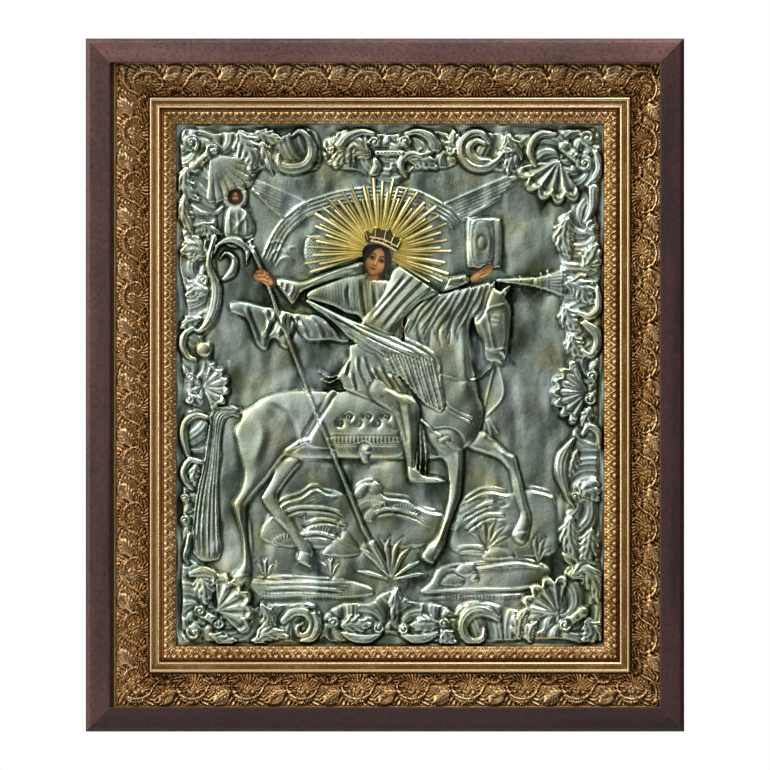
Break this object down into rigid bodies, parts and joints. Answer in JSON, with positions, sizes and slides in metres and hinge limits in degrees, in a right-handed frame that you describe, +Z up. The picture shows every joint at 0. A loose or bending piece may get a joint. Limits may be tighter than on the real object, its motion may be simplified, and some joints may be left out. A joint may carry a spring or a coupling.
{
  "type": "framed icon panel",
  "caption": "Wall icon of a horseman: embossed metal cover over a painted board, with a ray halo, in a gilt moulding and a dark wooden frame.",
  "frame": {"origin": "on the outer frame's rear face, at mid width of its top rail, where the icon hangs on the wall", "axes": "+Z up, along the icon's height; +X to the right as seen from the front; +Y into the wall, so the front faces -Y"},
  "size_m": [0.4994, 0.045, 0.5784],
  "materials": {
    "dark_wood": "stained dark red-brown, satin, with fine pores",
    "gilding": "carved and gilded wood, bronze-gold with dark recesses",
    "board_wood": "planed board, painted where it shows through the cover",
    "silvered_metal": "embossed, silvered and patinated grey-green, polished on the high places",
    "halo_gilding": "bright gilded metal"
  },
  "bodies": {
    "root": {"outer_frame_top": "dark_wood", "outer_frame_right": "dark_wood", "outer_frame_bottom": "dark_wood", "outer_frame_left": "dark_wood", "gilt_frame_top": "gilding", "gilt_frame_right": "gilding", "gilt_frame_bottom": "gilding", "gilt_frame_left": "gilding", "icon_board": "board_wood", "silver_cover": "silvered_metal", "ray_halo": "halo_gilding"}
  },
  "joints": []
}
